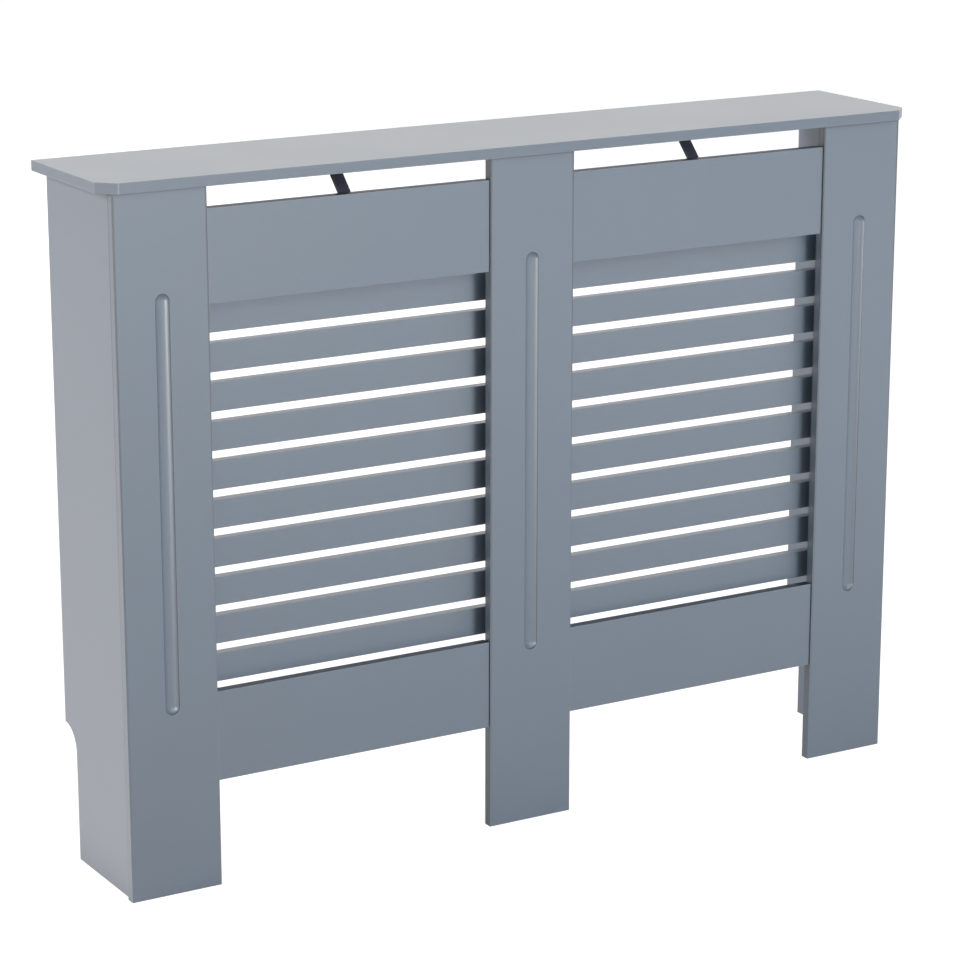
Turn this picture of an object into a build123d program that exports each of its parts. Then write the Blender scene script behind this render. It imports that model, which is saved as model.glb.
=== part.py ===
from build123d import *
import os

os.makedirs("parts", exist_ok=True)

# A radiator cover cabinet: a shelf on two side panels and a front frame, with slats behind the frame.
# Origin: middle of the footprint, on the floor. +X right, +Y towards the wall, +Z up. Millimetres.

# Overall size, and the board that every painted panel is cut from
cover_width = 1070.0
cover_depth = 190.0
cover_height = 815.0
board = 12.0
arris = 0.8

# Shelf
shelf_corner_cut = 19.0
shelf_front_overhang = 7.0
shelf_side_overhang = 14.0

# Stiles, with a round-nosed flute down the middle of each
stile_width = 111.0
flute_width = 17.0
flute_bottom = 213.0
flute_top = 690.0
flute_cutter_radius = 9.5

# Side panels, cut away at the foot to clear a skirting board
side_inset = 3.5
notch_depth = 30.0
notch_height = 160.0

# Rails
rail_height = 105.5
rail_setback = 2.0
rail_end_gap = 0.5
bottom_rail_foot = 124.9
top_rail_foot = 672.3

# Loose tongues that join the rails to the stiles, and shallower ones that keep the shelf in place
tongue_thickness = 4.0
tongue_width = 24.0
tongue_height = 70.0
tongue_end_clearance = 1.0
shelf_tongue_in_shelf = 6.0
shelf_tongue_in_side = 12.0

# Slats, let into the backs of comb battens behind the stiles
slat_count = 10
slat_height = 33.0
lowest_slat_foot = 234.0
highest_slat_head = 668.2
batten_width = 30.0
batten_depth = 24.0
batten_inset = 16.0
batten_overrun = 14.0

# Straps that tie the top rails to the underside of the shelf
strap_width = 16.0
strap_thickness = 2.0
strap_foot = 748.0
strap_bend = 773.0
strap_shelf_leg = 40.0
strap_bend_radius = 4.0

# Steel angles
angle_leg = 30.0
angle_width = 20.0
angle_thickness = 2.0
angle_bend_radius = 3.0
angle_hole_place = 18.0
corner_angle_heights = (180.0, 620.0)
wall_angle_height = 730.0
wall_hole_radius = 2.75

# Screws
shank_radius = 1.75
head_radius = 3.5
head_height = 1.8
screw_length = 11.0

# Planes and places worked out from the sizes above
front = -cover_depth / 2
back = cover_depth / 2
under_shelf = cover_height - board
stile_front = front + shelf_front_overhang
stile_back = stile_front + board
stile_offset = cover_width / 2 - shelf_side_overhang - stile_width / 2
stile_places = {"left": -stile_offset, "centre": 0.0, "right": stile_offset}
side_outer = cover_width / 2 - shelf_side_overhang - side_inset
side_inner = side_outer - board
side_signs = {"left": -1, "right": 1}
rail_front = stile_front + rail_setback
rail_back = rail_front + board
bay_inner = stile_width / 2
bay_outer = stile_offset - stile_width / 2
bays = {"left": (-bay_outer, -bay_inner), "right": (bay_inner, bay_outer)}
rail_feet = {"bottom": bottom_rail_foot, "top": top_rail_foot}
slat_field = highest_slat_head - lowest_slat_foot
slat_field_middle = lowest_slat_foot + slat_field / 2
slat_pitch = (slat_field - slat_height) / (slat_count - 1)
batten_back = stile_back + batten_depth
slat_front = batten_back - board
batten_reach = batten_inset + batten_width
strap_places = [(left + right) / 2 for left, right in bays.values()]
strap_top_start = rail_back + under_shelf - strap_bend


def save(piece, node):
    """Label a finished piece and write it as its own file."""
    piece.part.label = node
    export_step(piece.part, f"parts/{node}.step")


def upright(y):
    """An upright sketch plane at depth y, seen from the front: its normal points away from the wall."""
    return Plane.XZ.offset(-y)


# Screw: its head stands on the XY plane and its shank is straight below
with BuildPart() as screw:
    with BuildSketch(Plane.XZ):
        with BuildLine():
            Polyline(
                (0, head_height),
                (head_radius, head_height),
                (head_radius, 0),
                (shank_radius, 0),
                (shank_radius, -screw_length),
                (0, -screw_length),
                close=True,
            )
        make_face()
    revolve(axis=Axis.Z)


def drive(seats):
    """Cut the hole of a driven screw at each seat, in the piece that is being made."""
    with Locations(*seats):
        add(screw.part, mode=Mode.SUBTRACT)


def save_screws(seats, node):
    """Write the screws that fill those holes as one group."""
    with BuildPart() as screws:
        with Locations(*seats):
            add(screw.part)
    save(screws, node)


# Angle: legs along +X and +Y from the corner of two boards, its width across Z, drilled later
with BuildPart() as angle:
    with BuildSketch():
        with BuildLine():
            FilletPolyline((angle_leg, 0), (0, 0), (0, angle_leg), radius=angle_bend_radius)
            offset(amount=angle_thickness, side=Side.RIGHT)
        make_face()
    extrude(amount=angle_width / 2, both=True)


def leg_seats(corner):
    """Screw seats on the inside of an angle: on the leg along the corner's x, then along its y."""
    on_first = corner.from_local_coords((angle_hole_place, angle_thickness, 0))
    on_second = corner.from_local_coords((angle_thickness, angle_hole_place, 0))
    return Plane(on_first, corner.z_dir, corner.y_dir), Plane(on_second, corner.z_dir, corner.x_dir)


# Corners where the angles sit: the origin is on the line where two boards meet, x and y lie on the boards
corner_angles = {
    f"corner_bracket_{side}_{level}": Plane((s * side_inner, stile_back, z), (-s, 0, 0), (0, 0, -s))
    for side, s in side_signs.items()
    for level, z in zip(("lower", "upper"), corner_angle_heights)
}
wall_angles = {
    f"wall_bracket_{side}": Plane((s * side_inner, back, wall_angle_height), (-s, 0, 0), (0, 0, s))
    for side, s in side_signs.items()
}
corner_seats = [seat for corner in corner_angles.values() for seat in leg_seats(corner)]
wall_hole_seats = [leg_seats(corner)[0] for corner in wall_angles.values()]
wall_seats = [leg_seats(corner)[1] for corner in wall_angles.values()]

# Straps have a screw through the rail leg, its head towards the wall, and one up into the shelf
rail_seat_y = rail_back + strap_thickness
rail_seat_z = (strap_foot + strap_bend) / 2
shelf_seat_y = strap_top_start + strap_shelf_leg / 2
shelf_seat_z = under_shelf - strap_thickness
strap_seats = [
    *(Plane((x, rail_seat_y, rail_seat_z), (1, 0, 0), (0, 1, 0)) for x in strap_places),
    *(Plane((x, shelf_seat_y, shelf_seat_z), (1, 0, 0), (0, 0, -1)) for x in strap_places),
]
save_screws(corner_seats, "corner_bracket_screws")
save_screws(wall_seats, "wall_bracket_screws")
save_screws(strap_seats, "strap_screws")


# Brackets: the same angle in every corner, with a plain round hole for the screw into the wall
for node, corner in corner_angles.items():
    with BuildPart() as bracket:
        with Locations(corner):
            add(angle.part)
        drive(leg_seats(corner))
    save(bracket, node)
for node, corner in wall_angles.items():
    with BuildPart() as wall_bracket:
        with Locations(corner):
            add(angle.part)
        drive(wall_seats)
        with Locations(*wall_hole_seats):
            Hole(wall_hole_radius, depth=angle_thickness)
    save(wall_bracket, node)


# Straps: flat bar, bent up the back of the top rail, out at 45 degrees and along under the shelf
for bay, middle_x in zip(bays, strap_places):
    with BuildPart() as strap:
        with BuildSketch(Plane.YZ.offset(middle_x - strap_width / 2)):
            with BuildLine():
                FilletPolyline(
                    (rail_back, strap_foot),
                    (rail_back, strap_bend),
                    (strap_top_start, under_shelf),
                    (strap_top_start + strap_shelf_leg, under_shelf),
                    radius=strap_bend_radius,
                )
                offset(amount=strap_thickness, side=Side.RIGHT)
            make_face()
        extrude(amount=strap_width)
        drive(strap_seats)
    save(strap, f"strap_{bay}")


# Tongue places: one at each end of each rail, half in the rail and half in the stile
tongue_places = {
    x: [(x, (rail_front + stile_back) / 2, foot + rail_height / 2) for foot in rail_feet.values()]
    for bay in bays.values()
    for x in bay
}
# and one on each side panel, standing up into the shelf
shelf_tongue_rise = (shelf_tongue_in_shelf - shelf_tongue_in_side) / 2
shelf_tongue_length = shelf_tongue_in_shelf + shelf_tongue_in_side
shelf_tongue_places = [
    (s * (side_inner + board / 2), (stile_back + back) / 2, under_shelf + shelf_tongue_rise)
    for s in side_signs.values()
]


def rail_tongue(clearance=0, mode=Mode.ADD):
    """A tongue across the end of a rail, or its slot where a clearance is left at both edges."""
    Box(tongue_width + 2 * clearance, tongue_thickness, tongue_height, mode=mode)


def shelf_tongue(clearance=0, mode=Mode.ADD):
    """A tongue that stands in a side panel, or its slot."""
    Box(tongue_thickness, tongue_height, shelf_tongue_length + 2 * clearance, mode=mode)


def cut_rail_slots(edges):
    """Cut the slots of the tongues that cross these stile edges, in the piece that is being made."""
    for x in edges:
        with Locations(*tongue_places[x]):
            rail_tongue(tongue_end_clearance, Mode.SUBTRACT)


def cut_shelf_slots():
    """Cut the slots of the shelf's tongues, in the piece that is being made."""
    with Locations(*shelf_tongue_places):
        shelf_tongue(tongue_end_clearance, Mode.SUBTRACT)


with BuildPart() as rail_tongues:
    for places in tongue_places.values():
        with Locations(*places):
            rail_tongue()
save(rail_tongues, "rail_tongues")

with BuildPart() as shelf_tongues:
    with Locations(*shelf_tongue_places):
        shelf_tongue()
save(shelf_tongues, "shelf_tongues")


# Shelf: a board with its two front corners cut off
with BuildPart() as top_panel:
    with BuildSketch(Plane.XY.offset(under_shelf)) as shelf_outline:
        Rectangle(cover_width, cover_depth)
        chamfer(shelf_outline.vertices().group_by(Axis.Y)[0], shelf_corner_cut)
    extrude(amount=board)
    shelf_rims = top_panel.faces().filter_by(Axis.Z).edges()
    chamfer(shelf_rims.filter_by_position(Axis.Y, front - 1, back - 1), arris)
    cut_shelf_slots()
    drive(strap_seats)
save(top_panel, "top_panel")


# Side panels: plain boards with the skirting notch, a quarter round above a straight cut
notch_shoulder = notch_height - notch_depth
for side, s in side_signs.items():
    with BuildPart() as side_panel:
        with BuildSketch(Plane.YZ.offset(s * (side_inner + board / 2))):
            with Locations(((stile_back + back) / 2, under_shelf / 2)):
                Rectangle(back - stile_back, under_shelf)
            with Locations((back, notch_shoulder)):
                Circle(notch_depth, mode=Mode.SUBTRACT)
            with Locations((back, 0)):
                Rectangle(2 * notch_depth, 2 * notch_shoulder, mode=Mode.SUBTRACT)
        extrude(amount=board / 2, both=True)
        cut_shelf_slots()
        drive(corner_seats + wall_seats)
    save(side_panel, f"side_panel_{side}")


# Stiles: the flute is the path of a round-nosed cutter that stops short of both ends
cutter_lift = (flute_cutter_radius**2 - (flute_width / 2) ** 2) ** 0.5
cutter_y = stile_front - cutter_lift
cutter_low = flute_bottom + flute_width / 2
cutter_high = flute_top - flute_width / 2
for side, middle_x in stile_places.items():
    with BuildPart() as stile:
        with BuildSketch(upright(stile_front)):
            with Locations((middle_x, under_shelf / 2)):
                Rectangle(stile_width, under_shelf)
        extrude(amount=-board)
        chamfer(stile.edges().filter_by(Axis.Z).group_by(Axis.Y)[0], arris)
        with BuildSketch(Plane.YZ.offset(middle_x)):
            with BuildLine():
                foot = CenterArc((cutter_y, cutter_low), flute_cutter_radius, -90, 90)
                floor = Line(foot @ 1, (cutter_y + flute_cutter_radius, cutter_high))
                head = CenterArc((cutter_y, cutter_high), flute_cutter_radius, 0, 90)
                Line(head @ 1, foot @ 0)
            make_face()
        revolve(axis=Axis((middle_x, cutter_y, 0), (0, 0, 1)), mode=Mode.SUBTRACT)
        cut_rail_slots(x for x in tongue_places if abs(x - middle_x) < stile_width)
        drive(corner_seats)
    save(stile, f"stile_{side}")


# Rails: their faces stand back a little from the stiles, with a hairline at each end
for bay, edges in bays.items():
    for level, foot_z in rail_feet.items():
        with BuildPart() as rail:
            with BuildSketch(upright(rail_front)):
                with Locations((sum(edges) / 2, foot_z + rail_height / 2)):
                    Rectangle(edges[1] - edges[0] - 2 * rail_end_gap, rail_height)
            extrude(amount=-board)
            chamfer(rail.faces().sort_by(Axis.Y)[0].edges(), arris)
            cut_rail_slots(edges)
            drive(strap_seats)
        save(rail, f"{level}_rail_{bay}")


# Slats: numbered from the bottom, each runs behind the stiles at both ends of its bay
for bay, edges in bays.items():
    for number in range(slat_count):
        slat_middle = lowest_slat_foot + slat_height / 2 + number * slat_pitch
        with BuildPart() as slat:
            with BuildSketch(upright(slat_front)):
                with Locations((sum(edges) / 2, slat_middle)):
                    Rectangle(edges[1] - edges[0] + 2 * batten_reach, slat_height)
            extrude(amount=-board)
            chamfer(slat.edges().filter_by(Axis.X).group_by(Axis.Y)[0], arris)
        save(slat, f"slat_{bay}_{number + 1:02d}")


# Comb battens: glued behind the stiles, with a housing in the back for each slat, which ends flush
for bay, edges in bays.items():
    for end, edge, s in zip(side_signs, edges, side_signs.values()):
        batten_middle = edge + s * (batten_inset + batten_width / 2)
        with BuildPart() as batten:
            with BuildSketch(Plane.YZ.offset(batten_middle)):
                with Locations(((stile_back + batten_back) / 2, slat_field_middle)):
                    Rectangle(batten_depth, slat_field + 2 * batten_overrun)
                with Locations((batten_back - board / 2, slat_field_middle)):
                    with GridLocations(0, slat_pitch, 1, slat_count):
                        Rectangle(board, slat_height, mode=Mode.SUBTRACT)
            extrude(amount=batten_width / 2, both=True)
        save(batten, f"batten_{bay}_{end}")
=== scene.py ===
# %% [markdown]
# # A radiator cover cabinet, dressed in Blender
#
# The cover is a shelf on two side panels and a front frame of stiles and rails, with slats let into comb
# battens behind the frame. Everything that shows from the front is fibreboard under satin blue-grey paint.
# The CAD model already holds every piece at its real place and size. What it lacks is what the eye takes for
# real: edges that are a little rounded, flutes without facets, formed steel, and paint that varies.
#
# Lengths are metres. +X is right, +Y goes to the wall, +Z is up, and the floor is at Z = 0.

# %% Frame
import math

import bmesh
import bpy
from mathutils import Matrix, Vector


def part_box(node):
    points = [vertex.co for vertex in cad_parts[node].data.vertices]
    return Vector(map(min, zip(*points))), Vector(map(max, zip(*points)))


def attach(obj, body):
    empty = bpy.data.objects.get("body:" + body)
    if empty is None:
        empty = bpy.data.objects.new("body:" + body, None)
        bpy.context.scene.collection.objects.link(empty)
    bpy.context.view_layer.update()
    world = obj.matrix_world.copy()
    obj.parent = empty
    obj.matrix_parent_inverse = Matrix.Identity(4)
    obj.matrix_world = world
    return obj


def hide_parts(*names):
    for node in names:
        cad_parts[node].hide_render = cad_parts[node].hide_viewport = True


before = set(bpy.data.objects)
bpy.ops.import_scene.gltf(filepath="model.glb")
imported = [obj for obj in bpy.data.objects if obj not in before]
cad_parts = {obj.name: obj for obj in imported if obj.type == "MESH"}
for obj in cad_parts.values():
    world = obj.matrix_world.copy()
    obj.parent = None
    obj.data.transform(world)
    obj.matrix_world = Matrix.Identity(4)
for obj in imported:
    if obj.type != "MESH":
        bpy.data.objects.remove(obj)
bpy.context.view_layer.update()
MM = 0.001

# %% [markdown]
# ## A board
#
# Every painted piece starts as a flat board, so one function makes them all. A scaled cube would do for the
# shape, but a real board has softened corners, called arrises, and paint behaves differently on them and on
# the sawn edges. So each mesh carries three attributes for the paint to read later:
#
# - `edge` is 1 along the corners and falls to 0 a little way into each face,
# - `sawn` is 1 on the narrow faces, where the saw opened the fibres, and 0 on the board's two broad faces,
# - a third attribute, for painted shade, is 1 where shade is painted into the colour: on the stiles' heads
#   under the shelf, on the rails' tops and round the flutes' rims. It is 0 everywhere else.
#
# The band that `edge` fades over needs vertices of its own, and an inset of each face makes them.

# %% Sizes that all boards share
ARRIS = 0.35 * MM
ARRIS_STEPS = 3
EDGE_BAND = 2.5 * MM
# Faces that meet at less than this run into each other: only a sharper corner is an arris
SOFT_ANGLE = math.radians(28)
# A face is broad where its normal leans this much along the board's thickness, and sawn where it leans less
BROAD_LEAN = 0.7


# %% Helpers for one board
def at(across, u, v, depth):
    """The point at (u, v) in a board's plane, and at a depth along axis number `across`, its thickness."""
    place = [u, v]
    place.insert(across, depth)
    return Vector(place)


def rectangle(low, high, across):
    """The outline of a box, seen along axis number `across`."""
    u, v = (axis for axis in range(3) if axis != across)
    return [(low[u], low[v]), (high[u], low[v]), (high[u], high[v]), (low[u], high[v])]


def empty_mesh():
    """A mesh to build in, with the attributes that the paint reads."""
    mesh = bmesh.new()
    mesh.verts.layers.float.new("edge")
    # The third attribute marks where shade is painted into the colour
    mesh.verts.layers.float.new("painted_shade")
    mesh.faces.layers.float.new("sawn")
    return mesh


def block(outline, across, near, far):
    """A mesh with that outline, from near to far along its thickness."""
    mesh = empty_mesh()
    rims = [[mesh.verts.new(at(across, u, v, depth)) for u, v in outline] for depth in (near, far)]
    for rim in rims:
        mesh.faces.new(rim)
    for i in range(len(outline)):
        j = (i + 1) % len(outline)
        mesh.faces.new((rims[0][i], rims[0][j], rims[1][j], rims[1][i]))
    bmesh.ops.recalc_face_normals(mesh, faces=mesh.faces)
    return mesh


def flat_regions(faces):
    """Groups of faces that run into each other without a corner."""
    left, groups = set(faces), []
    while left:
        group, todo = [], [left.pop()]
        while todo:
            face = todo.pop()
            group.append(face)
            for edge in face.edges:
                for other in edge.link_faces:
                    if other in left and edge.calc_face_angle(math.pi) < SOFT_ANGLE:
                        left.remove(other)
                        todo.append(other)
        groups.append(group)
    return groups


def soften(mesh, across, carved=()):
    """Round a board's corners and set its `edge` and `sawn` attributes. Carved faces keep their shape."""
    carved = set(carved)
    corners = [e for e in mesh.edges if e.calc_face_angle(0) > SOFT_ANGLE]
    rounded = bmesh.ops.bevel(
        mesh,
        geom=corners,
        offset=ARRIS,
        segments=ARRIS_STEPS,
        profile=0.5,
        affect="EDGES",
        clamp_overlap=True,
    )
    kept = set(rounded["faces"]) | carved
    on_edge, sawn = mesh.verts.layers.float["edge"], mesh.faces.layers.float["sawn"]
    inside = {v for face in carved for v in face.verts}
    for v in mesh.verts:
        if v not in inside:
            v[on_edge] = 1.0
    for group in flat_regions(f for f in mesh.faces if f not in kept):
        bmesh.ops.inset_region(
            mesh, faces=group, thickness=EDGE_BAND, use_even_offset=True, use_boundary=True
        )
        for v in {v for face in group for v in face.verts}:
            v[on_edge] = 0.0
    for face in mesh.faces:
        face[sawn] = 1.0 if face in carved or abs(face.normal[across]) < BROAD_LEAN else 0.0


def paint_shade_at(mesh, verts):
    """Mark those vertices for painted shade: the paint is darkened there in place of shade."""
    painted_shade = mesh.verts.layers.float["painted_shade"]
    for v in verts:
        v[painted_shade] = 1.0


def finish_piece(mesh, name, stands_for, material):
    """Turn a mesh into a shaded piece that rides on the cover and stands for those CAD nodes."""
    data = bpy.data.meshes.new(name)
    for face in mesh.faces:
        face.smooth = True
    mesh.to_mesh(data)
    mesh.free()
    piece = bpy.data.objects.new(name, data)
    bpy.context.scene.collection.objects.link(piece)
    data.materials.append(material)
    # Faces keep the direction of the broad side they border, so that flat sides shade flat
    weights = piece.modifiers.new("flat sides", "WEIGHTED_NORMAL")
    weights.keep_sharp = True
    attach(piece, "root")
    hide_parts(*stands_for)
    return piece


# %% [markdown]
# ## Finishes: shared effects
#
# Three effects come back in most materials, so each is a node group that is built once: slow clouds of
# tone, a mask for rubbed edges, and a fine relief. A group only hands out values and colours. The shader
# itself stays in each material, where its constant settings can be read at a glance.


# %% Node helpers
# A noise runs from 0 to 1 in name only: nearly all of it lies between these two values
NOISE_RANGE = (0.3, 0.7)


def add_node(tree, kind, inputs, **settings):
    """Add a shader node, set its options, and set or link its inputs."""
    made = tree.nodes.new("ShaderNode" + kind)
    for option, value in settings.items():
        setattr(made, option, value)
    for key, value in inputs.items():
        if isinstance(value, bpy.types.NodeSocket):
            tree.links.new(value, made.inputs[key])
        else:
            made.inputs[key].default_value = value
    return made


def new_group(name, inputs, outputs):
    """An empty node group with named sockets, given as (name, kind, value) and (name, kind)."""
    group = bpy.data.node_groups.new(name, "ShaderNodeTree")
    for label, kind, value in inputs:
        socket = group.interface.new_socket(label, in_out="INPUT", socket_type="NodeSocket" + kind)
        socket.default_value = value
    for label, kind in outputs:
        group.interface.new_socket(label, in_out="OUTPUT", socket_type="NodeSocket" + kind)
    return group, group.nodes.new("NodeGroupInput").outputs, group.nodes.new("NodeGroupOutput").inputs


def maths(tree, operation, a, b, clamp=False):
    """One Math node's result."""
    return add_node(tree, "Math", {0: a, 1: b}, operation=operation, use_clamp=clamp).outputs[0]


def noise(tree, size, detail=3.0, roughness=0.5, where=None):
    """Noise with blotches of about that size, in metres, over the piece's own coordinates."""
    where = where or add_node(tree, "TexCoord", {}).outputs["Object"]
    scale = maths(tree, "DIVIDE", 1.0, size) if isinstance(size, bpy.types.NodeSocket) else 1 / size
    inputs = {"Vector": where, "Scale": scale, "Detail": detail, "Roughness": roughness}
    return add_node(tree, "TexNoise", inputs).outputs["Fac"]


def between(tree, value, low, high, to_low, to_high):
    """A value carried from one range to another, and held inside it."""
    inputs = {"Value": value, "From Min": low, "From Max": high, "To Min": to_low, "To Max": to_high}
    return add_node(tree, "MapRange", inputs).outputs["Result"]


def blend_colour(tree, share, first, second):
    """Between two colours, by a share."""
    return add_node(tree, "Mix", {0: share, 6: first, 7: second}, data_type="RGBA").outputs[2]


def place_group(tree, group, **inputs):
    """Put a node group into a material and return its outputs."""
    made = tree.nodes.new("ShaderNodeGroup")
    made.node_tree = group
    for key, value in inputs.items():
        socket = made.inputs[key.replace("_", " ")]
        if isinstance(value, bpy.types.NodeSocket):
            tree.links.new(value, socket)
        else:
            socket.default_value = value
    return made.outputs


# %% Group: clouds of tone
# With this gain the lightest clouds come out about as much lighter as Amount says
CLOUD_GAIN = 4.0


def make_cloudy_tone():
    """The colour a little lighter here and darker there, over a hand's breadth, different on each board."""
    inputs = [
        ("Colour", "Color", (0.5, 0.5, 0.5, 1)),
        ("Size", "Float", 0.15),
        ("Amount", "Float", 0.03),
    ]
    tree, given, out = new_group("cloudy tone", inputs, [("Colour", "Color"), ("Clouds", "Float")])
    where = add_node(tree, "TexCoord", {}).outputs["Object"]
    own_start = add_node(tree, "ObjectInfo", {}).outputs["Random"]
    moved = add_node(tree, "VectorMath", {0: where, 1: own_start}, operation="ADD").outputs[0]
    clouds = noise(tree, given["Size"], detail=4.0, roughness=0.6, where=moved)
    swing = maths(tree, "MULTIPLY", maths(tree, "SUBTRACT", clouds, 0.5), given["Amount"])
    value = maths(tree, "ADD", maths(tree, "MULTIPLY", swing, CLOUD_GAIN), 1.0)
    toned = add_node(tree, "HueSaturation", {"Value": value, "Color": given["Colour"]})
    tree.links.new(toned.outputs["Color"], out["Colour"])
    tree.links.new(clouds, out["Clouds"])
    return tree


cloudy_tone = make_cloudy_tone()
print("group", cloudy_tone.name, "with", len(cloudy_tone.nodes), "nodes")


# %% Group: rubbed edges
# How far the patches move the place where rubbing starts, and how quickly it then reaches its full strength
PATCH_SWING = 1.6
RUB_SLOPE = 2.5


def make_rubbed_edges():
    """A mask that is 1 where hands and cloths have rubbed an arris, broken up so that no line is drawn."""
    inputs = [("Edge", "Float", 0.0), ("Patch size", "Float", 0.02), ("Reach", "Float", 0.5)]
    tree, given, out = new_group("rubbed edges", inputs, [("Mask", "Float")])
    patches = noise(tree, given["Patch size"], detail=5.0, roughness=0.65)
    start = maths(tree, "SUBTRACT", 1.0, given["Reach"])
    moved = maths(tree, "MULTIPLY", maths(tree, "SUBTRACT", patches, 0.5), PATCH_SWING)
    start = maths(tree, "ADD", start, moved)
    height = maths(tree, "SUBTRACT", given["Edge"], start)
    mask = maths(tree, "MULTIPLY", height, RUB_SLOPE, clamp=True)
    tree.links.new(maths(tree, "MULTIPLY", mask, given["Edge"]), out["Mask"])
    return tree


rubbed_edges = make_rubbed_edges()
print("group", rubbed_edges.name, "with", len(rubbed_edges.nodes), "nodes")


# %% Group: fine relief
def make_fine_relief():
    """Height of a sprayed or pressed skin: shallow dimples of height 1, and finer fibres on top of them."""
    inputs = [
        ("Dimple size", "Float", 0.0016),
        ("Fibre size", "Float", 0.0004),
        ("Fibre height", "Float", 0.3),
    ]
    tree, given, out = new_group("fine relief", inputs, [("Height", "Float"), ("Dimples", "Float")])
    dimples = noise(tree, given["Dimple size"], detail=1.0, roughness=0.4)
    fibres = noise(tree, given["Fibre size"], detail=4.0, roughness=0.7)
    rise = maths(tree, "ADD", dimples, maths(tree, "MULTIPLY", fibres, given["Fibre height"]))
    tree.links.new(rise, out["Height"])
    tree.links.new(dimples, out["Dimples"])
    return tree


fine_relief = make_fine_relief()
print("group", fine_relief.name, "with", len(fine_relief.nodes), "nodes")


# %% Helpers for a material
def new_material(name):
    """An empty material with its shader: (material, tree, shader inputs)."""
    material = bpy.data.materials.new(name)
    material.use_nodes = True
    tree = material.node_tree
    return material, tree, tree.nodes["Principled BSDF"].inputs


def raise_surface(tree, shader, height, depth):
    """Feed a height to the shader as a bump. A height of 1 stands `depth` metres above 0."""
    bump = add_node(tree, "Bump", {"Height": height, "Distance": depth, "Strength": 1.0})
    tree.links.new(bump.outputs["Normal"], shader["Normal"])


def mesh_value(tree, name):
    """An attribute of the mesh."""
    return add_node(tree, "Attribute", {}, attribute_name=name).outputs["Fac"]


# %% [markdown]
# ## Satin paint on fibreboard
#
# The paint is a sprayed blue-grey with a soft sheen. Broad faces are smooth. Sawn edges and the cutter's
# flutes drink more paint, so there they are a shade darker and rougher. Arrises are rubbed a little lighter.
# Painted shade draws dark lines into the colour where shade falls: along the stiles' heads under the shelf,
# on the rails' tops and round the flutes' rims.
#
# The clear coat stands for the smooth skin of the paint over its rougher body.

# %% Paint
PAINT = (0.156, 0.206, 0.267, 1)
PAINT_SAWN = (0.140, 0.185, 0.240, 1)
PAINT_RUBBED = (0.218, 0.270, 0.336, 1)
# Nearly black, painted in place of shade on the stiles' heads, the rails' tops and the flutes' rims
PAINT_SHADED = (0.018, 0.023, 0.035, 1)
PAINT_IOR = 1.6
COAT_ROUGHNESS = 0.3
RUBBED_SHARE = 0.5
SAWN_ROUGHER = 0.10
RUBBED_SMOOTHER = 0.06
SAWN_FIBRES = 0.8


def make_paint(name, sawn_share, roughness, relief, fibre):
    """Satin paint. More fibre and relief stand for a thinner coat, as on pieces that hardly show."""
    material, tree, shader = new_material(name)
    edge, sawn = mesh_value(tree, "edge"), mesh_value(tree, "sawn")
    worn = place_group(tree, rubbed_edges, Edge=edge, Patch_size=0.03, Reach=0.45)["Mask"]
    skin = place_group(tree, fine_relief, Dimple_size=0.0018, Fibre_size=0.0005, Fibre_height=fibre)
    colour = blend_colour(tree, maths(tree, "MULTIPLY", sawn, sawn_share), PAINT, PAINT_SAWN)
    colour = blend_colour(tree, maths(tree, "MULTIPLY", worn, RUBBED_SHARE), colour, PAINT_RUBBED)
    # Painted shade: where the mesh marks it, the colour goes nearly black in place of shade
    colour = blend_colour(tree, mesh_value(tree, "painted_shade"), colour, PAINT_SHADED)
    tone = place_group(tree, cloudy_tone, Colour=colour, Size=0.16, Amount=0.02)
    tree.links.new(tone["Colour"], shader["Base Color"])
    gloss = between(tree, tone["Clouds"], *NOISE_RANGE, roughness - 0.03, roughness + 0.03)
    gloss = maths(tree, "ADD", gloss, maths(tree, "MULTIPLY", sawn, SAWN_ROUGHER))
    gloss = maths(tree, "SUBTRACT", gloss, maths(tree, "MULTIPLY", worn, RUBBED_SMOOTHER))
    gloss = maths(tree, "ADD", gloss, between(tree, skin["Dimples"], *NOISE_RANGE, -0.02, 0.02))
    tree.links.new(gloss, shader["Roughness"])
    fibrous = maths(tree, "ADD", maths(tree, "MULTIPLY", sawn, SAWN_FIBRES), 1.0)
    raise_surface(tree, shader, maths(tree, "MULTIPLY", skin["Height"], fibrous), relief)
    shader["IOR"].default_value = PAINT_IOR
    shader["Coat Weight"].default_value = 1.0
    shader["Coat IOR"].default_value = PAINT_IOR
    shader["Coat Roughness"].default_value = COAT_ROUGHNESS
    return material


painted_board = make_paint("satin paint", sawn_share=0.6, roughness=0.4, relief=0.02 * MM, fibre=0.25)
batten_board = make_paint("thin paint", sawn_share=1.0, roughness=0.5, relief=0.04 * MM, fibre=0.6)
print("paints:", painted_board.name, "and", batten_board.name)

# %% [markdown]
# ## Steel and plywood finishes
#
# The straps are lacquered dark grey. The angles and screws are zinc plated: bright, with faint cloudy
# patches, and brighter still where the edges were rubbed in the drum. The tongues are bare birch plywood.
# Its layers are a wave across the sheet, and its grain is a noise that is stretched along one axis.

# %% Dark lacquered steel
LACQUER = (0.055, 0.058, 0.080, 1)
LACQUER_RUBBED = (0.12, 0.122, 0.145, 1)
LACQUER_GLOSS = (0.36, 0.46)


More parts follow.
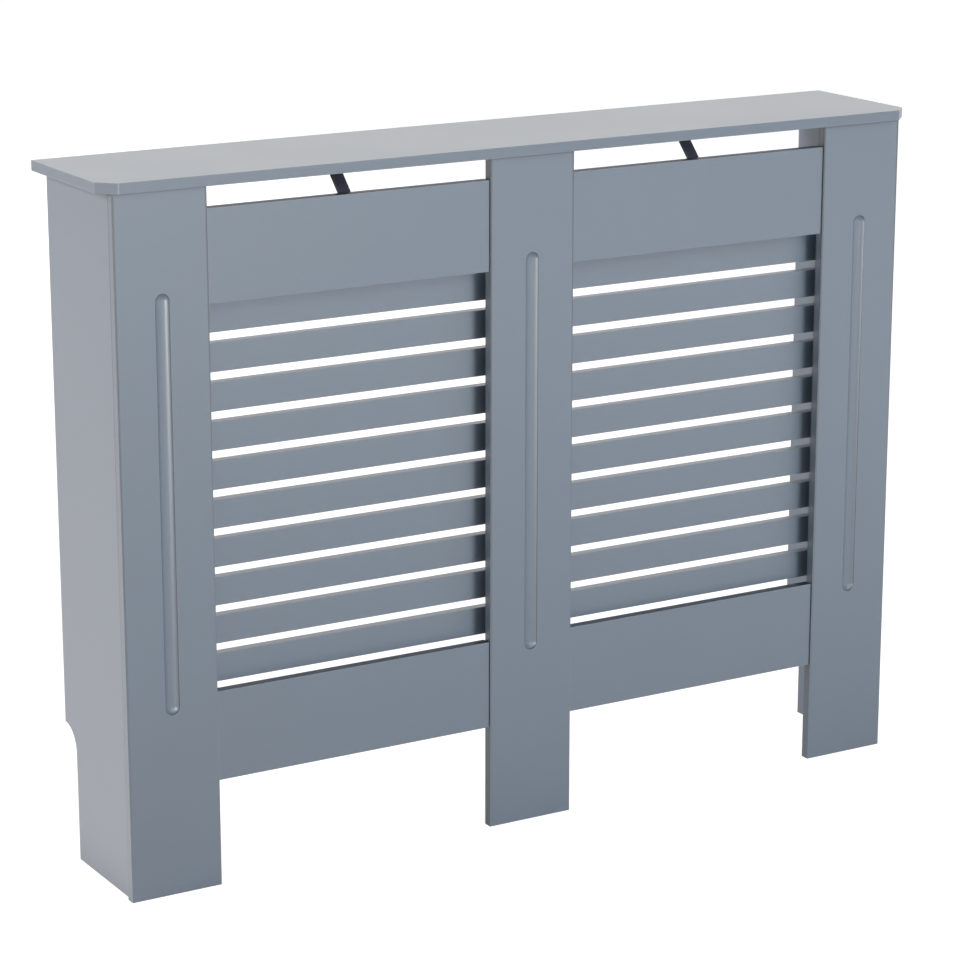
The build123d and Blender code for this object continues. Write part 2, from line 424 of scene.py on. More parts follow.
def make_dark_steel():
    """Dark grey lacquer on strip steel, lighter on its rubbed edges."""
    material, tree, shader = new_material("dark lacquer")
    edge = mesh_value(tree, "edge")
    worn = place_group(tree, rubbed_edges, Edge=edge, Patch_size=0.008, Reach=0.35)["Mask"]
    skin = place_group(tree, fine_relief, Dimple_size=0.0012, Fibre_size=0.0004, Fibre_height=0.2)
    colour = blend_colour(tree, maths(tree, "MULTIPLY", worn, RUBBED_SHARE), LACQUER, LACQUER_RUBBED)
    tone = place_group(tree, cloudy_tone, Colour=colour, Size=0.02, Amount=0.05)
    tree.links.new(tone["Colour"], shader["Base Color"])
    gloss = between(tree, tone["Clouds"], *NOISE_RANGE, *LACQUER_GLOSS)
    gloss = maths(tree, "SUBTRACT", gloss, maths(tree, "MULTIPLY", worn, 0.08))
    tree.links.new(gloss, shader["Roughness"])
    raise_surface(tree, shader, skin["Height"], 0.03 * MM)
    return material


# %% Zinc plate
RUBBED_ZINC_GAIN = 1.25


def make_zinc(name, colour, roughness):
    """Zinc plate: faint cloudy patches, fine marks from forming, brighter on its rubbed edges."""
    material, tree, shader = new_material(name)
    edge = mesh_value(tree, "edge")
    worn = place_group(tree, rubbed_edges, Edge=edge, Patch_size=0.006, Reach=0.6)["Mask"]
    skin = place_group(tree, fine_relief, Dimple_size=0.0009, Fibre_size=0.0002, Fibre_height=0.5)
    bright = tuple(min(1.0, RUBBED_ZINC_GAIN * part) for part in colour[:3]) + (1,)
    colour = blend_colour(tree, worn, colour, bright)
    tone = place_group(tree, cloudy_tone, Colour=colour, Size=0.009, Amount=0.08)
    tree.links.new(tone["Colour"], shader["Base Color"])
    gloss = between(tree, tone["Clouds"], *NOISE_RANGE, roughness - 0.07, roughness + 0.09)
    gloss = maths(tree, "SUBTRACT", gloss, maths(tree, "MULTIPLY", worn, 0.1))
    tree.links.new(gloss, shader["Roughness"])
    raise_surface(tree, shader, skin["Height"], 0.02 * MM)
    shader["Metallic"].default_value = 1.0
    return material


# %% Birch plywood
BIRCH = (0.62, 0.44, 0.26, 1)
BIRCH_GRAIN = (0.50, 0.34, 0.19, 1)
BIRCH_LAYER = (0.36, 0.23, 0.12, 1)
LAYER_SHARE = 0.35
# The grain is stretched along Z to about 17 times its width
GRAIN_SQUEEZE = (1.0, 1.0, 0.06)
GRAIN_SIZE = 1.2 * MM
LAYER_WAVES = {"Scale": 240.0, "Distortion": 0.6}
BIRCH_GLOSS = (0.6, 0.75)


def make_plywood():
    """Bare birch ply: thin layers through its thickness, and grain along its length."""
    material, tree, shader = new_material("birch ply")
    where = add_node(tree, "TexCoord", {}).outputs["Object"]
    long_grain = add_node(tree, "Mapping", {"Vector": where, "Scale": GRAIN_SQUEEZE}).outputs[0]
    grain = noise(tree, GRAIN_SIZE, detail=4.0, roughness=0.6, where=long_grain)
    layers = add_node(tree, "TexWave", {"Vector": where, **LAYER_WAVES}, bands_direction="Y").outputs["Fac"]
    colour = blend_colour(tree, grain, BIRCH, BIRCH_GRAIN)
    colour = blend_colour(tree, maths(tree, "MULTIPLY", layers, LAYER_SHARE), colour, BIRCH_LAYER)
    tone = place_group(tree, cloudy_tone, Colour=colour, Size=0.03, Amount=0.05)
    tree.links.new(tone["Colour"], shader["Base Color"])
    tree.links.new(between(tree, grain, *NOISE_RANGE, *BIRCH_GLOSS), shader["Roughness"])
    raise_surface(tree, shader, grain, 0.05 * MM)
    return material


dark_steel = make_dark_steel()
plated_steel = make_zinc("zinc plate", colour=(0.60, 0.61, 0.63, 1), roughness=0.34)
screw_steel = make_zinc("screw plate", colour=(0.56, 0.57, 0.60, 1), roughness=0.28)
birch_ply = make_plywood()
print("other finishes:", [m.name for m in (dark_steel, plated_steel, screw_steel, birch_ply)])

# %% [markdown]
# ## Shelf
#
# One board, with its two front corners sawn off at 45 degrees, as wide as the photograph shows them. Its mesh
# is drawn as an outline and given a thickness, since an outline is easy to read and to change.

# %% Shelf
SHELF_CORNER_CUT = 19 * MM
low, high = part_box("top_panel")
shelf_outline = [
    (low.x + SHELF_CORNER_CUT, low.y),
    (high.x - SHELF_CORNER_CUT, low.y),
    (high.x, low.y + SHELF_CORNER_CUT),
    (high.x, high.y),
    (low.x, high.y),
    (low.x, low.y + SHELF_CORNER_CUT),
]
shelf = block(shelf_outline, 2, low.z, high.z)
soften(shelf, 2)
shelf_piece = finish_piece(shelf, "shelf_board", ["top_panel"], painted_board)
print(shelf_piece.name, "with", len(shelf_piece.data.polygons), "faces")

# %% [markdown]
# ## Side panels
#
# At the rear foot each panel is cut away to clear the skirting board: straight up, then a quarter round.
# The cut is part of the outline, with the quarter round as points on a circle, so nothing has to be cut off.

# %% Side panels
NOTCH_DEPTH = 30 * MM
NOTCH_HEIGHT = 160 * MM
NOTCH_STEPS = 16


def side_outline(low, high):
    """The panel seen from its side, with the notch at the rear foot."""
    shoulder = NOTCH_HEIGHT - NOTCH_DEPTH
    turns = [math.pi - 0.5 * math.pi * i / NOTCH_STEPS for i in range(NOTCH_STEPS + 1)]
    cut = [(high.y + NOTCH_DEPTH * math.cos(t), shoulder + NOTCH_DEPTH * math.sin(t)) for t in turns]
    return [(low.y, low.z), (high.y - NOTCH_DEPTH, low.z), *cut, (high.y, high.z), (low.y, high.z)]


for side in ("left", "right"):
    node = f"side_panel_{side}"
    low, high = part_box(node)
    panel = block(side_outline(low, high), 0, low.x, high.x)
    soften(panel, 0)
    piece = finish_piece(panel, f"side_board_{side}", [node], painted_board)
    print(piece.name, "with", len(piece.data.polygons), "faces")

# %% [markdown]
# ## Stiles
#
# Each stile has a flute: the path of a round-nosed cutter that goes down into the board, runs along it and
# comes up again. Cutting it with a boolean would leave ragged shading at the rim. Here the flute is drawn as
# rings instead, each one the same racetrack shape, further in and deeper than the last. The first few rings
# turn the rim over, since a sanded rim is never sharp, and a narrow margin leads on to the bowl.
#
# Shade is painted on the rim and its margin and, in a thin line, on the stile's head just under the shelf.

# %% Flute sizes
FLUTE_WIDTH = 17 * MM
FLUTE_LOW = 213 * MM
FLUTE_HIGH = 690 * MM
CUTTER_RADIUS = 11 * MM
RIM_RADIUS = 0.35 * MM
RIM_MARGIN = 0.10 * MM
RIM_STEPS = 4
BOWL_STEPS = 12
END_STEPS = 20
# How far down from its head a stile gets painted shade, under the shelf
STILE_SHADE_REACH = 0.5 * MM
# Vertices nearer than this are one vertex
MERGE_DISTANCE = 0.01 * MM


def flute_profile():
    """How deep the flute is at each distance from its middle line, from the flat face inwards."""
    half = FLUTE_WIDTH / 2
    lift = math.sqrt(CUTTER_RADIUS**2 - half**2)
    steepest = math.asin(half / CUTTER_RADIUS)
    rim_middle = half + RIM_RADIUS * math.tan(steepest / 2)
    rim = [
        (rim_middle - RIM_RADIUS * math.sin(a), RIM_RADIUS * (1 - math.cos(a)))
        for a in (steepest * i / RIM_STEPS for i in range(RIM_STEPS + 1))
    ]
    start = math.asin((rim[-1][0] - RIM_MARGIN) / CUTTER_RADIUS)
    bowl = [
        (CUTTER_RADIUS * math.sin(a), CUTTER_RADIUS * math.cos(a) - lift)
        for a in (start * (1 - i / BOWL_STEPS) for i in range(BOWL_STEPS + 1))
    ]
    return rim + bowl


def racetrack(middle_x, distance):
    """The ring at that distance from the flute's middle line, clockwise from its lowest point."""
    low_z, high_z = FLUTE_LOW + FLUTE_WIDTH / 2, FLUTE_HIGH - FLUTE_WIDTH / 2
    turns = [math.pi * i / END_STEPS for i in range(END_STEPS + 1)]
    foot_left = [(-math.sin(t), low_z, -math.cos(t)) for t in turns[: END_STEPS // 2 + 1]]
    head = [(-math.cos(t), high_z, math.sin(t)) for t in turns]
    foot_right = [(math.cos(t), low_z, -math.sin(t)) for t in turns[: END_STEPS // 2]]
    ring = foot_left + head + foot_right
    return [(middle_x + distance * x, z + distance * rise) for x, z, rise in ring]


# %% Stile mesh
def stile_mesh(low, high):
    """A board with a flute down its front face. Returns the mesh and the flute's faces."""
    middle_x = (low.x + high.x) / 2
    outline = [
        (low.x, low.z),
        (middle_x, low.z),
        (high.x, low.z),
        (high.x, high.z),
        (middle_x, high.z),
        (low.x, high.z),
    ]
    mesh = block(outline, 1, low.y, high.y)
    mesh.faces.ensure_lookup_table()
    front_face = min(mesh.faces, key=lambda face: face.calc_center_median().y)
    corners = {(round(v.co.x, 6), round(v.co.z, 6)): v for v in front_face.verts}
    foot_left, foot, foot_right, head_right, head, head_left = (
        corners[(round(x, 6), round(z, 6))] for x, z in outline
    )
    mesh.faces.remove(front_face)
    rings = [
        [mesh.verts.new((x, low.y + depth, z)) for x, z in racetrack(middle_x, distance)]
        for distance, depth in flute_profile()
    ]
    flute = []
    for outer, inner in zip(rings, rings[1:]):
        for i in range(len(outer)):
            j = (i + 1) % len(outer)
            flute.append(mesh.faces.new((outer[i], outer[j], inner[j], inner[i])))
    # The front face comes back as two halves, which meet below and above the flute
    half_way = END_STEPS + 1
    left_run = rings[0][: half_way + 1]
    right_run = rings[0][half_way:] + rings[0][:1]
    mesh.faces.new([foot_left, foot, *left_run, head, head_left])
    mesh.faces.new([foot, foot_right, head_right, head, *right_run])
    # Painted shade round the flute's rim and its margin
    paint_shade_at(mesh, [v for ring in rings[1 : RIM_STEPS + 2] for v in ring])
    bmesh.ops.remove_doubles(mesh, verts=rings[-1], dist=MERGE_DISTANCE)
    flute = [face for face in flute if face.is_valid]
    bmesh.ops.recalc_face_normals(mesh, faces=mesh.faces)
    return mesh, flute


for place in ("left", "centre", "right"):
    node = f"stile_{place}"
    low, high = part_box(node)
    mesh, flute = stile_mesh(low, high)
    soften(mesh, 1, carved=flute)
    # Painted shade in a thin line on the stile's head, under the shelf
    paint_shade_at(mesh, [v for v in mesh.verts if v.co.z > high.z - STILE_SHADE_REACH])
    piece = finish_piece(mesh, f"stile_board_{place}", [node], painted_board)
    print(piece.name, "with", len(piece.data.polygons), "faces")

# %% [markdown]
# ## Rails and slats
#
# These are plain boards. The slats' arrises are what keeps the rows of narrow gaps from looking cut out of
# paper: each one catches a thread of light. Shade is painted on the rails' tops.

# %% Rails and slats
BAYS = ("left", "right")
SLATS_IN_A_BAY = 10
# How far down from its top a rail gets painted shade
RAIL_SHADE_REACH = 0.1 * MM
rails = [f"{level}_rail_{bay}" for level in ("top", "bottom") for bay in BAYS]
slats = [f"slat_{bay}_{number + 1:02d}" for bay in BAYS for number in range(SLATS_IN_A_BAY)]
for node in rails + slats:
    low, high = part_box(node)
    mesh = block(rectangle(low, high, 1), 1, low.y, high.y)
    soften(mesh, 1)
    if node in rails:
        # Painted shade on the rail's top
        paint_shade_at(mesh, [v for v in mesh.verts if v.co.z > high.z - RAIL_SHADE_REACH])
    finish_piece(mesh, node + "_board", [node], painted_board)
print(len(rails), "rails and", len(slats), "slats")

# %% [markdown]
# ## Comb battens
#
# Behind the stiles, four upright battens carry the slat ends in housings that open to the back. From the
# front they are hidden, but they are half of what one sees from behind. Their outline goes in and out at
# each slat. They get the thinner coat of paint.


# %% Comb battens
def comb_outline(low, high, bay):
    """The batten seen from its side: a strip with a housing in its back for each slat of its bay."""
    outline = [(low.y, low.z), (high.y, low.z)]
    for number in range(SLATS_IN_A_BAY):
        slat_low, slat_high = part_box(f"slat_{bay}_{number + 1:02d}")
        outline += [
            (high.y, slat_low.z),
            (slat_low.y, slat_low.z),
            (slat_low.y, slat_high.z),
            (high.y, slat_high.z),
        ]
    return outline + [(high.y, high.z), (low.y, high.z)]


for bay in BAYS:
    for end in ("left", "right"):
        node = f"batten_{bay}_{end}"
        low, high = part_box(node)
        mesh = block(comb_outline(low, high, bay), 0, low.x, high.x)
        soften(mesh, 0)
        piece = finish_piece(mesh, node + "_comb", [node], batten_board)
        print(piece.name, "with", len(piece.data.polygons), "faces")

# %% [markdown]
# ## Formed steel
#
# Straps and angles are punched flat and then bent. They are made here in the same order: a flat blank with
# rounded corners and its holes, then a bend along a path. The path is a line with rounded corners, cut into
# stations, and each point of the blank is carried to the station at its distance along the strip.


# %% Helpers for formed steel
BEND_STEPS = 6
CORNER_STEPS = 6
HOLE_STEPS = 32
STEEL_ARRIS = 0.3 * MM
STEEL_ARRIS_STEPS = 2
STEEL_CORNER = math.radians(50)


def stations(corners, radius):
    """Distances, points and left-hand normals along a path with rounded corners, in its own plane."""
    points = [Vector(c) for c in corners]
    runs = [(b - a).normalized() for a, b in zip(points, points[1:])]
    path = [(points[0], runs[0])]
    for corner, before, after in zip(points[1:], runs, runs[1:]):
        turn = before.angle_signed(after)
        reach = radius * math.tan(abs(turn) / 2)
        left = Vector((-before.y, before.x))
        middle = corner - before * reach + left * radius * (-1 if turn > 0 else 1)
        for i in range(BEND_STEPS + 1):
            spin = Matrix.Rotation(-turn * i / BEND_STEPS, 2)
            path.append((middle + spin @ (corner - before * reach - middle), spin @ before))
    path.append((points[-1], runs[-1]))
    made, distance = [], 0.0
    for i, (point, along) in enumerate(path):
        if i:
            distance += (point - path[i - 1][0]).length
        made.append((distance, point, Vector((-along.y, along.x))))
    return made


def arc(mesh, middle, radius, turns):
    """New vertices round a point of the blank's plane, one at each turn."""
    x, y = middle
    return [mesh.verts.new((x + radius * math.cos(t), y + radius * math.sin(t), 0)) for t in turns]


def blank(length, width, thickness, corner, holes):
    """A flat strip along X, centred on Y, with rounded corners and round holes (distance, radius)."""
    mesh = empty_mesh()
    rim, half = [], width / 2
    quarter = math.pi / 2
    corners = ((length - corner, corner - half), (length - corner, half - corner))
    corners += ((corner, half - corner), (corner, corner - half))
    for i, middle in enumerate(corners):
        start = (i - 1) * quarter
        turns = [start + quarter * j / CORNER_STEPS for j in range(CORNER_STEPS + 1)]
        rim += arc(mesh, middle, corner, turns)
    full_turn = [2 * math.pi * i / HOLE_STEPS for i in range(HOLE_STEPS)]
    loops = [rim] + [arc(mesh, (distance, 0), radius, full_turn) for distance, radius in holes]
    edges = [mesh.edges.new((loop[i - 1], loop[i])) for loop in loops for i in range(len(loop))]
    bmesh.ops.triangle_fill(mesh, use_beauty=True, use_dissolve=False, edges=edges)
    grown = bmesh.ops.extrude_face_region(mesh, geom=mesh.faces[:])
    raised = [v for v in grown["geom"] if isinstance(v, bmesh.types.BMVert)]
    bmesh.ops.translate(mesh, verts=raised, vec=(0, 0, thickness))
    bmesh.ops.recalc_face_normals(mesh, faces=mesh.faces)
    return mesh


def bend(mesh, path, carry):
    """Cut the blank at each station and carry its points along the path. `carry` puts them in the room."""
    for distance, _, _ in path[1:-1]:
        geometry = mesh.verts[:] + mesh.edges[:] + mesh.faces[:]
        bmesh.ops.bisect_plane(mesh, geom=geometry, plane_co=(distance, 0, 0), plane_no=(1, 0, 0))
    for v in mesh.verts:
        i = max(1, next((i for i, (d, _, _) in enumerate(path) if d >= v.co.x - 1e-9), len(path) - 1))
        (d0, p0, n0), (d1, p1, n1) = path[i - 1], path[i]
        share = (v.co.x - d0) / (d1 - d0) if d1 > d0 else 0.0
        place = p0.lerp(p1, share) + n0.lerp(n1, share).normalized() * v.co.z
        v.co = carry(place.x, place.y, v.co.y)
    bmesh.ops.recalc_face_normals(mesh, faces=mesh.faces)


def soften_steel(mesh):
    """Round the corners of formed steel slightly, and set its `edge` attribute along them."""
    corners = [e for e in mesh.edges if e.calc_face_angle(0) > STEEL_CORNER]
    rounded = bmesh.ops.bevel(
        mesh, geom=corners, offset=STEEL_ARRIS, segments=STEEL_ARRIS_STEPS, profile=0.5, affect="EDGES"
    )
    on_edge = mesh.verts.layers.float["edge"]
    for face in rounded["faces"]:
        for v in face.verts:
            v[on_edge] = 1.0


# %% [markdown]
# ## Straps
#
# In the gap under the shelf one sees a dark strip in each bay. It climbs the back of the top rail, leans
# back at 45 degrees and ends flat under the shelf, so that the rail can't sag forward.

# %% Straps
STRAP_BEND_Z = 773 * MM
STRAP_LEG = 40 * MM
STRAP_STEEL = 2 * MM
STRAP_CORNER = 5 * MM
STRAP_BEND_RADIUS = 4 * MM

for bay in BAYS:
    low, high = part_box(f"strap_{bay}")
    leg_y = low.y + (high.z - STRAP_BEND_Z)
    corners = [(low.y, low.z), (low.y, STRAP_BEND_Z), (leg_y, high.z), (leg_y + STRAP_LEG, high.z)]
    path = stations(corners, STRAP_BEND_RADIUS)
    mesh = blank(path[-1][0], high.x - low.x, -STRAP_STEEL, STRAP_CORNER, [])
    middle_x = (low.x + high.x) / 2
    bend(mesh, path, lambda y, z, across: (middle_x + across, y, z))
    soften_steel(mesh)
    piece = finish_piece(mesh, f"strap_{bay}_strip", [f"strap_{bay}"], dark_steel)
    print(piece.name, "with", len(piece.data.polygons), "faces")

# %% [markdown]
# ## Angles
#
# Four angles pull the side panels to the stiles, and two at the back take the screws into the wall. All six
# are made alike: a blank bent once, and turned to face its own corner.

# %% Angles
ANGLE_STEEL = 2 * MM
ANGLE_CORNER = 4 * MM
ANGLE_BEND_RADIUS = 3 * MM
ANGLE_HOLE_PLACE = 18 * MM
WALL_HOLE_RADIUS = 2.75 * MM


def angle_piece(node, from_x, x_sign, from_y, y_sign, holes):
    """An angle with its corner at (from_x, from_y), its first leg along X and its second along Y."""
    low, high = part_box(node)
    leg_x, leg_y = high.x - low.x, high.y - low.y
    path = stations([(leg_x, 0), (0, 0), (0, leg_y)], ANGLE_BEND_RADIUS)
    mesh = blank(path[-1][0], high.z - low.z, -ANGLE_STEEL, ANGLE_CORNER, holes)
    middle_z = (low.z + high.z) / 2
    bend(mesh, path, lambda x, y, across: (from_x + x_sign * x, from_y + y_sign * y, middle_z + across))
    soften_steel(mesh)
    return finish_piece(mesh, node + "_steel", [node], plated_steel)


for side, sign in (("left", 1), ("right", -1)):
    for level in ("lower", "upper"):
        node = f"corner_bracket_{side}_{level}"
        low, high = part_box(node)
        angle_piece(node, low.x if sign > 0 else high.x, sign, low.y, 1, [])
    node = f"wall_bracket_{side}"
    low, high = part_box(node)
    wall_hole = [(high.x - low.x - ANGLE_HOLE_PLACE, WALL_HOLE_RADIUS)]
    angle_piece(node, low.x if sign > 0 else high.x, sign, high.y, -1, wall_hole)
print("angles: 4 in the corners, 2 at the wall")

# %% [markdown]
# ## Screws
#
# The CAD model shows each screw as a plain shank under a round head. Here the head gets its dome and its
# cross recess. The dome is a profile spun round its axis, and a tapered cross is cut out of it. The places
# are read from the CAD groups: each loose part is one screw, its long side is its axis, and its wide end is
# the head. Nobody lines recesses up, so each screw is turned a little further than the last.


# %% Screw heads
HEAD_RADIUS = 3.5 * MM
HEAD_HEIGHT = 1.8 * MM
# The dome from its crown to its edge, as shares of the head's radius and height
DOME = ((0.0, 1.0), (0.45, 0.97), (0.75, 0.82), (0.92, 0.58), (1.0, 0.25), (1.0, 0.0))
SHANK_RADIUS = 1.75 * MM
SCREW_LENGTH = 11 * MM
ROUND_STEPS = 32
RECESS_WIDTH = 0.9 * MM
RECESS_REACH = 2.1 * MM
RECESS_DEPTH = 1.4 * MM
RECESS_TAPER = 0.45
# Only a head has points this far from the screw's axis
HEAD_ONLY = 3 * MM
NEXT_SCREW_TURN = math.radians(37)


def screw_pattern():
    """One screw, its head on the XY plane and its shank below, with a cross recess cut into the dome."""
    profile = [(r * HEAD_RADIUS, z * HEAD_HEIGHT) for r, z in DOME]
    profile += [(SHANK_RADIUS, 0.0), (SHANK_RADIUS, -SCREW_LENGTH), (0.0, -SCREW_LENGTH)]
    mesh = bmesh.new()
    line = [mesh.verts.new((r, 0, z)) for r, z in profile]
    edges = [mesh.edges.new(pair) for pair in zip(line, line[1:])]
    bmesh.ops.spin(
        mesh,
        geom=line + edges,
        cent=(0, 0, 0),
        axis=(0, 0, 1),
        angle=2 * math.pi,
        steps=ROUND_STEPS,
        use_merge=True,
    )
    bmesh.ops.remove_doubles(mesh, verts=mesh.verts, dist=MERGE_DISTANCE)
    bmesh.ops.recalc_face_normals(mesh, faces=mesh.faces)
    body = bpy.data.objects.new("screw body", bpy.data.meshes.new("screw body"))
    mesh.to_mesh(body.data)
    mesh.free()
    half = RECESS_WIDTH / 2
    cross = [(half, half), (half, RECESS_REACH), (-half, RECESS_REACH)]
    outline = []
    for quarter in range(4):
        turn = Matrix.Rotation(quarter * math.pi / 2, 2)
        outline += [tuple(turn @ Vector(corner)) for corner in cross]
    cutter_mesh = block(outline, 2, HEAD_HEIGHT - RECESS_DEPTH, HEAD_HEIGHT + RECESS_DEPTH)
    for v in cutter_mesh.verts:
        if v.co.z < HEAD_HEIGHT:
            v.co.x *= RECESS_TAPER
            v.co.y *= RECESS_TAPER
    cutter = bpy.data.objects.new("recess cutter", bpy.data.meshes.new("recess cutter"))
    cutter_mesh.to_mesh(cutter.data)
    cutter_mesh.free()
    for helper in (body, cutter):
        bpy.context.scene.collection.objects.link(helper)
    cut = body.modifiers.new("recess", "BOOLEAN")
    cut.object, cut.operation, cut.solver = cutter, "DIFFERENCE", "EXACT"
    shape = bpy.data.meshes.new_from_object(body.evaluated_get(bpy.context.evaluated_depsgraph_get()))
    for helper in (body, cutter):
        bpy.data.objects.remove(helper)
    return shape


def loose_parts(mesh):
    """The separate solids of a mesh, each as its points."""
    left, parts = set(mesh.verts), []
    while left:
        part, todo = [], [left.pop()]
        while todo:
            v = todo.pop()
            part.append(v.co.copy())
            for edge in v.link_edges:
                other = edge.other_vert(v)
                if other in left:
                    left.remove(other)
                    todo.append(other)
        parts.append(part)
    return parts


def screw_places(node):
    """For each screw of a CAD group, the matrix that carries the pattern to it."""
    mesh = bmesh.new()
    mesh.from_mesh(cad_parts[node].data)
    bmesh.ops.remove_doubles(mesh, verts=mesh.verts, dist=MERGE_DISTANCE)
    places = []
    for part in loose_parts(mesh):
        low = Vector(min(p[axis] for p in part) for axis in range(3))
        high = Vector(max(p[axis] for p in part) for axis in range(3))
        axis = max(range(3), key=lambda a: high[a] - low[a])
        middle = (low + high) / 2
        from_axis = [math.hypot(*(p[a] - middle[a] for a in range(3) if a != axis)) for p in part]
        head = [p[axis] for p, distance in zip(part, from_axis) if distance > HEAD_ONLY]
        up = 1 if sum(head) / len(head) > middle[axis] else -1
        seat = middle.copy()
        seat[axis] = (high[axis] - HEAD_HEIGHT) if up > 0 else (low[axis] + HEAD_HEIGHT)
        direction = Vector((0, 0, 0))
        direction[axis] = up
        places.append(Matrix.Translation(seat) @ direction.to_track_quat("Z", "Y").to_matrix().to_4x4())
    mesh.free()
    return places


# %% Screw groups
pattern = screw_pattern()
for node in ("corner_bracket_screws", "wall_bracket_screws", "strap_screws"):
    mesh = empty_mesh()
    for number, place in enumerate(sorted(screw_places(node), key=lambda m: tuple(m.translation))):
        copy = pattern.copy()
        copy.transform(place @ Matrix.Rotation(NEXT_SCREW_TURN * number, 4, "Z"))
        mesh.from_mesh(copy)
        bpy.data.meshes.remove(copy)
    piece = finish_piece(mesh, node + "_driven", [node], screw_steel)
    print(piece.name, "with", number + 1, "screws")

# %% [markdown]
# ## Tongues
#
# The plywood tongues are inside the boards, so the CAD solids stay as they are and get a wood finish.

# %% Tongues
for node in ("rail_tongues", "shelf_tongues"):
    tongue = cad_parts[node]
    tongue.data.materials.clear()
    tongue.data.materials.append(birch_ply)
print("tongues keep their CAD shape")

# %% [markdown]
# ## Floor, surroundings and lamps
#
# The photograph shows the cover in white surroundings, but its paint tells what the room was really like:
#
# - The shelf mirrors a pale wall behind the cover.
# - The fronts mirror a floor that is bright far away and dim close by, and a wide pale panel in front.
# - The left side mirrors the floor beside it, which is brighter towards the front. A warm lamp lights it.
# - The shadows at the slats' right ends are as wide as a lamp a little to the right of the front makes them.
# - The bright line down the right side of each flute mirrors two small lamps, close by at the left front.
#
# So the floor and the world are plain white for the camera, and for reflections they follow that room. A
# lamp that only lights or only shines leaves the other half of the paint's look alone. Its glow is the
# brightness that a mirror would show, where 1 is plain white, so a larger lamp of one glow gives more light.

# %% Floor
FLOOR_SIZE = 60.0
FLOOR_GREY = 0.30
FLOOR_ROUGHNESS = 0.8
# To the camera the glow and the light that falls on the floor make white together
SEEN_GLOW = 0.92
# Reflections see a dim pool at the cover's foot, whose edge fades between these distances from its middle
DIM_POOL_MIDDLE = (0.2, -0.3, 0.0)
DIM_POOL_EDGE = (0.8, 3.0)
DIM_POOL_GLOW = 0.57
# Towards the wall the glow falls to this share of itself, between these places along Y
BEHIND_EDGE = (-0.8, -0.1)
BEHIND_GLOW = 0.65
# Left of this edge along X the glow runs from one value to another, between these places along Y
LEFT_EDGE = (-0.56, -0.50)
LEFT_REACH = (0.1, 1.9)
LEFT_GLOW = (0.70, 0.47)


def make_floor():
    """A floor that is white to the camera, and that reflections see bright far away and dim close by."""
    bpy.ops.mesh.primitive_plane_add(size=FLOOR_SIZE)
    floor = bpy.context.object
    floor.name = "floor"
    material, tree, shader = new_material("pale floor")
    shader["Base Color"].default_value = (FLOOR_GREY, FLOOR_GREY, FLOOR_GREY, 1)
    shader["Roughness"].default_value = FLOOR_ROUGHNESS
    shader["Emission Color"].default_value = (1, 1, 1, 1)
    where = add_node(tree, "TexCoord", {}).outputs["Object"]
    away = add_node(tree, "VectorMath", {0: where, 1: DIM_POOL_MIDDLE}, operation="DISTANCE")
    mirrored = between(tree, away.outputs["Value"], *DIM_POOL_EDGE, DIM_POOL_GLOW, 1.0)
    along = add_node(tree, "SeparateXYZ", {0: where}).outputs
    behind = between(tree, along["Y"], *BEHIND_EDGE, 1.0, BEHIND_GLOW)
    mirrored = maths(tree, "MULTIPLY", mirrored, behind)
    on_left = between(tree, along["X"], *LEFT_EDGE, 1.0, 0.0)
    more = maths(tree, "SUBTRACT", between(tree, along["Y"], *LEFT_REACH, *LEFT_GLOW), mirrored)
    mirrored = maths(tree, "ADD", mirrored, maths(tree, "MULTIPLY", more, on_left))
    path = add_node(tree, "LightPath", {}).outputs
    glow = maths(tree, "MULTIPLY", path["Is Glossy Ray"], mirrored)
    glow = maths(tree, "ADD", glow, maths(tree, "MULTIPLY", path["Is Camera Ray"], SEEN_GLOW))
    tree.links.new(glow, shader["Emission Strength"])
    floor.data.materials.append(material)
    print(floor.name, "of", FLOOR_SIZE, "m with", len(tree.nodes), "nodes")


make_floor()


# %% World
SOFT_LIGHT = 0.15
WALL_GLOW = 1.0
# The wall fades in between these two values of a direction's Y, and ends between these of its Z
WALL_SIDE = (-0.25, 0.15)
WALL_HEAD = (0.45, 0.65)


def make_world():
    """White to the camera, softly lit all round, and in reflections a pale wall behind the cover."""
    world = bpy.data.worlds.new("white room")
    bpy.context.scene.world = world
    world.use_nodes = True
    tree = world.node_tree
    tree.nodes.clear()
    direction = add_node(tree, "TexCoord", {}).outputs["Generated"]
    towards = add_node(tree, "SeparateXYZ", {0: direction}).outputs
    behind = between(tree, towards["Y"], *WALL_SIDE, 0.0, 1.0)
    low_down = between(tree, towards["Z"], *WALL_HEAD, 1.0, 0.0)
    wall = maths(tree, "MULTIPLY", maths(tree, "MULTIPLY", behind, low_down), WALL_GLOW - SOFT_LIGHT)
    path = add_node(tree, "LightPath", {}).outputs
    seen = maths(tree, "ADD", path["Is Camera Ray"], path["Is Transmission Ray"], clamp=True)
    glow = maths(tree, "ADD", SOFT_LIGHT, maths(tree, "MULTIPLY", path["Is Glossy Ray"], wall))
    glow = maths(tree, "MAXIMUM", glow, seen)
    light = add_node(tree, "Background", {"Color": (1, 1, 1, 1), "Strength": glow}).outputs[0]
    output = tree.nodes.new("ShaderNodeOutputWorld")
    tree.links.new(light, output.inputs["Surface"])
    print(world.name, "with", len(tree.nodes), "nodes")


make_world()


# %% Lamps
LAMPS_AIM = Vector((0, 0, 0.4))
WHITE = (1.0, 1.0, 1.0)
WARM = (1.0, 0.85, 0.79)


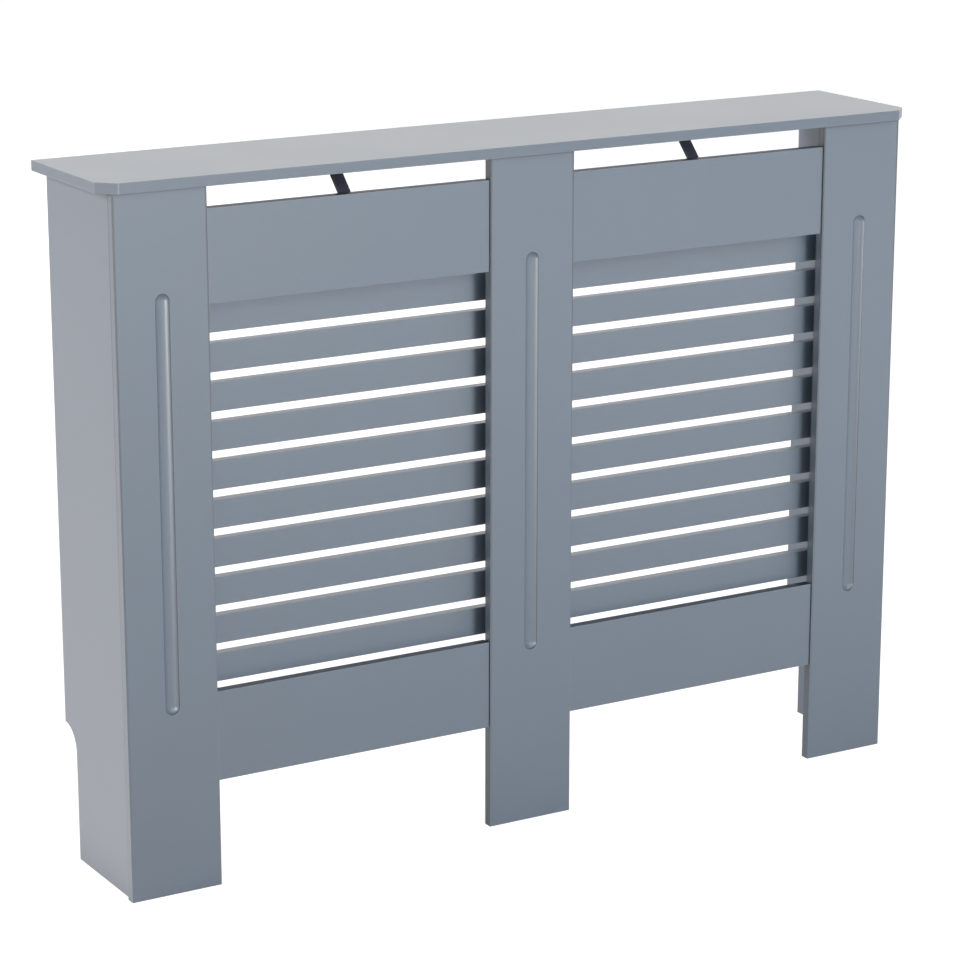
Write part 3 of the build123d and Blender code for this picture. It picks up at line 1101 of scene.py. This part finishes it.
def add_lamp(name, angles, glow, colour=WHITE, size=1.4, distance=5.0, lights=True, shines=True):
    """A square lamp that faces the cover, at two angles in degrees: from the front to the right, and up."""
    lamp = bpy.data.lights.new(name, "AREA")
    lamp.shape, lamp.size, lamp.color = "SQUARE", size, colour
    lamp.energy = glow * math.pi * size**2
    holder = bpy.data.objects.new(name, lamp)
    turn, rise = (math.radians(angle) for angle in angles)
    ahead = distance * math.cos(rise)
    out = Vector((ahead * math.sin(turn), -ahead * math.cos(turn), distance * math.sin(rise)))
    holder.location = LAMPS_AIM + out
    holder.rotation_euler = out.to_track_quat("Z", "Y").to_euler()
    holder.visible_diffuse, holder.visible_glossy = lights, shines
    bpy.context.scene.collection.objects.link(holder)


add_lamp("key", (20, 10), glow=15.1, shines=False)
add_lamp("high key", (20, 32), glow=6.9, shines=False)
add_lamp("right fill", (60, 32), glow=6.5, shines=False)
add_lamp("front sheen", (-3, 16), glow=1.9, size=5.0, lights=False)
add_lamp("left fill", (-97, 26), glow=36.5, colour=WARM, shines=False)
add_lamp("back fill", (180, 8), glow=20.0, shines=False)
add_lamp("flute sheen", (-43, 3), glow=3.4, size=1.0, distance=2.0, lights=False)
add_lamp("flute glint", (-43, 5), glow=14.0, size=0.35, distance=2.0, lights=False)

# %% [markdown]
# ## Camera
#
# The camera stands to the left of the cover and looks a little down, as in the photograph. Its place and
# focal length were worked out from the corners of the boards.

# %% Camera
CAMERA_PLACE = (-1.8857, -3.1675, 1.3862)
CAMERA_YAW = 30.53
CAMERA_PITCH = -14.98
PHOTO_WIDTH = 960
FOCAL_PIXELS = 3206.21
SENSOR_WIDTH = 36.0

camera_data = bpy.data.cameras.new("camera")
camera_data.sensor_width = SENSOR_WIDTH
camera_data.lens = FOCAL_PIXELS / PHOTO_WIDTH * SENSOR_WIDTH
camera = bpy.data.objects.new("camera", camera_data)
camera.location = CAMERA_PLACE
camera.rotation_euler = (math.radians(90 + CAMERA_PITCH), 0, math.radians(-CAMERA_YAW))
bpy.context.scene.collection.objects.link(camera)
bpy.context.scene.camera = camera
bpy.context.scene.view_settings.view_transform = "Standard"
print("focal length, mm:", round(camera_data.lens, 1))
